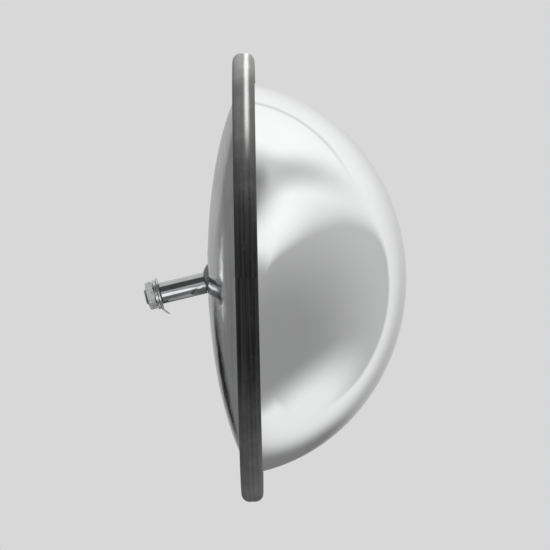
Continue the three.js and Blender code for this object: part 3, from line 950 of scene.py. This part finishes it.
def make_world():
    world = bpy.data.worlds.new("studio")
    bpy.context.scene.world = world
    world.use_nodes = True
    tree = world.node_tree
    tree.nodes.clear()
    direction = add_node(tree, "ShaderNodeTexCoord").outputs["Generated"]
    slope = add_node(tree, "ShaderNodeSeparateXYZ", _0=direction).outputs[2]

    def along(axis):
        return vector_node(tree, "DOT_PRODUCT", direction, axis)["Value"]

    def angle_from(azimuth, elevation):
        centre = studio_direction(azimuth, elevation)
        cosine = math_node(tree, "MINIMUM", along(centre), 1.0)
        angle = math_node(tree, "ARCCOSINE", math_node(tree, "MAXIMUM", cosine, -1.0))
        return math_node(tree, "DEGREES", angle)

    def patch(azimuth, elevation, radius, edge):
        return remap(tree, angle_from(azimuth, elevation), radius, radius + edge, 1.0, 0.0)

    def painted(under, over, mask):
        mix = add_node(tree, "ShaderNodeMix", {"data_type": "FLOAT"}, _0=mask, _2=under, _3=over)
        return mix.outputs[0]

    low = remap(tree, slope, *LOW_SLOPES, 1.0, 0.0)
    high = remap(tree, slope, *HIGH_SLOPES, 0.0, 1.0)
    grey = remap(tree, slope, PAPER_LOW, PAPER_HIGH, PAPER_DARK, PAPER_LIGHT)
    for *place, value in (
        CAMERA_CEILING, BEHIND_PAPER, BEHIND_MIRROR, BEHIND_WINDOW, BEHIND_FLOOR, BEHIND_LAMP,
        BEHIND_SHADOW,
    ):
        grey = painted(grey, value, patch(*place))
    off = math_node(tree, "SUBTRACT", angle_from(*PANEL_CENTRE), PANEL_RADIUS)
    line = remap(tree, math_node(tree, "ABSOLUTE", off), 0.0, PANEL_LINE, 1.0, 0.0)
    grey = painted(grey, PANEL_GREY, math_node(tree, "MULTIPLY", line, high))
    around = angle_from(*RING_CENTRE)
    inside = math_node(tree, "SUBTRACT", RING_RADIUS, painted(RING_INNER, RING_SOFT_INNER, high))
    outside = math_node(tree, "ADD", RING_RADIUS, painted(RING_OUTER, RING_LOW_OUTER, low))
    inner = remap(tree, around, inside, RING_RADIUS, 0.0, 1.0)
    outer = remap(tree, around, RING_RADIUS, outside, 1.0, 0.0)
    ring = painted(painted(RING_SIDE, RING_TOP, high), RING_BOTTOM, low)
    closed = math_node(tree, "SUBTRACT", 1.0, patch(*RING_GAP))
    grey = painted(grey, ring, math_node(tree, "MULTIPLY", outer, closed))
    pole = studio_direction(*SHADE_START).cross(studio_direction(*SHADE_END)).normalized()
    shade = remap(tree, math_node(tree, "ABSOLUTE", along(pole)), 0.0, SHADE_WIDTH, 1.0, 0.0)
    shaded = math_node(tree, "MINIMUM", grey, SHADE_GREY)
    grey = painted(grey, shaded, math_node(tree, "MULTIPLY", shade, patch(*SHADE_REACH)))
    grey = painted(grey, CAMERA_FLOOR[-1], patch(*CAMERA_FLOOR[:-1]))
    room = remap(tree, angle_from(*ROOM_DARKEST), ROOM_NEAR, ROOM_FAR, ROOM_DARK, ROOM_LIGHT)
    middle = math_node(tree, "SUBTRACT", 1.0, inner)
    open_room = math_node(tree, "MAXIMUM", middle, patch(*RING_GAP))
    open_room = math_node(tree, "MULTIPLY", open_room, remap(tree, around, *ROOM_EDGE, 1.0, 0.0))
    grey = painted(grey, room, open_room)
    for *place, value in (FLOOR_LIGHT, CAMERA_ROOM, CAMERA_LAMP):
        grey = painted(grey, value, patch(*place))
    seen = add_node(tree, "ShaderNodeLightPath").outputs["Is Camera Ray"]
    grey = painted(grey, BACKDROP, seen)
    background = add_node(tree, "ShaderNodeBackground", Color=grey, Strength=1.0)
    output = tree.nodes.new("ShaderNodeOutputWorld")
    tree.links.new(background.outputs[0], output.inputs[0])


def make_lamp():
    """A soft lamp overhead. Mirrors show the studio instead of the lamp itself."""
    data = bpy.data.lights.new("overhead", "AREA")
    data.shape = "DISK"
    data.size = LAMP_SIZE
    data.energy = LAMP_POWER
    lamp = bpy.data.objects.new("overhead", data)
    lamp.location = LAMP_PLACE
    lamp.visible_glossy = False
    bpy.context.scene.collection.objects.link(lamp)


def make_floor():
    place = Matrix.Translation((0, 0, FLOOR_HEIGHT))
    radius, low = FLOOR_RADIUS / MM, -FLOOR_THICKNESS / MM
    outline = [(0, 0), (radius, 0), (radius, low), (0, low)]
    floor = turned("floor", outline, place, MEDIUM, closed=False)
    material, tree, shader, where = new_material("floor", 0.0, Roughness=0.85)
    colour = blend_grey(tree, noise(tree, where, 3, 3, 0.5), (0.88, 0.88, 0.88), (0.84, 0.84, 0.84))
    tree.links.new(colour, shader.inputs["Base Color"])
    # The floor thins out to nothing, so that no edge shows against the backdrop.
    x, y, _ = add_node(tree, "ShaderNodeSeparateXYZ", _0=where).outputs
    start, end = (FLOOR_RADIUS * share for share in FLOOR_FADE)
    cover = remap(tree, length_of(tree, x, y), start, end, FLOOR_COVER, 0.0)
    tree.links.new(cover, shader.inputs["Alpha"])
    floor.data.materials.append(material)
    floor.visible_glossy = False


# Every piece, on its body.


def build_head():
    place_piece(make_mirror_dome(), "mirror_dome", "mirror_head", "mirror_face")
    place_piece(make_back_shell(), "back_shell", "mirror_head", "shell_metal")
    place_piece(make_rim_gasket(), "rim_gasket", "mirror_head", "rim_rubber")
    place_piece(make_socket_ring(), "socket_ring", "mirror_head", "socket_steel")
    place_piece(make_socket_cup(), "socket_cup", "mirror_head", "socket_steel")
    place_piece(make_thrust_cup(), "thrust_cup", "thrust_liner", "nylon")
    place_piece(make_seat_ring(), "seat_ring", "seat_liner", "nylon")
    washer_back = SOCKET_SPLIT + SOCKET_FLANGE + 2 * GAP
    nut_back = washer_back + CLAMP_WASHER_THICKNESS + GAP
    for number, x, y in clamp_places():
        place = shifted(HEAD, x, y)
        screw = make_clamp_screw(number, place)
        washer = make_washer(
            f"clamp_washer_{number}_body", CLAMP_WASHER_RADIUS, CLAMP_RADIUS + GAP,
            washer_back, washer_back + CLAMP_WASHER_THICKNESS, place, SMALL,
        )
        nut = make_nut(
            f"clamp_nut_{number}_body", CLAMP_NUT_FLATS, CLAMP_NUT_HEIGHT, CLAMP_RADIUS + GAP,
            nut_back, place, CLAMP_PITCH,
        )
        place_piece(screw, f"clamp_screw_{number}", "mirror_head", "zinc_steel")
        place_piece(washer, f"clamp_washer_{number}", "mirror_head", "zinc_steel")
        place_piece(nut, f"clamp_nut_{number}", "mirror_head", "zinc_steel")


def build_arm():
    washer = make_washer(
        "flat_washer_body", WASHER_RADIUS, WASHER_BORE, TAB_WASHER_BACK + GAP, WASHER_BACK, ARM, MEDIUM,
    )
    nut = make_nut(
        "jam_nut_body", NUT_FLATS, NUT_HEIGHT, STUD_RADIUS + GAP, WASHER_BACK + GAP, ARM, STUD_PITCH,
    )
    place_piece(make_ball(), "ball", "arm", "arm_chrome")
    place_piece(make_arm_tube(), "arm_tube", "arm", "arm_chrome")
    place_piece(make_arm_stud(), "arm_stud", "arm", "zinc_steel")
    place_piece(make_tab_washer(), "tab_washer", "arm", "zinc_steel")
    place_piece(washer, "flat_washer", "arm", "zinc_steel")
    place_piece(nut, "jam_nut", "arm", "zinc_steel")


make_camera()
make_world()
make_lamp()
make_floor()
build_head()
build_arm()
bpy.context.scene.view_settings.view_transform = "Standard"
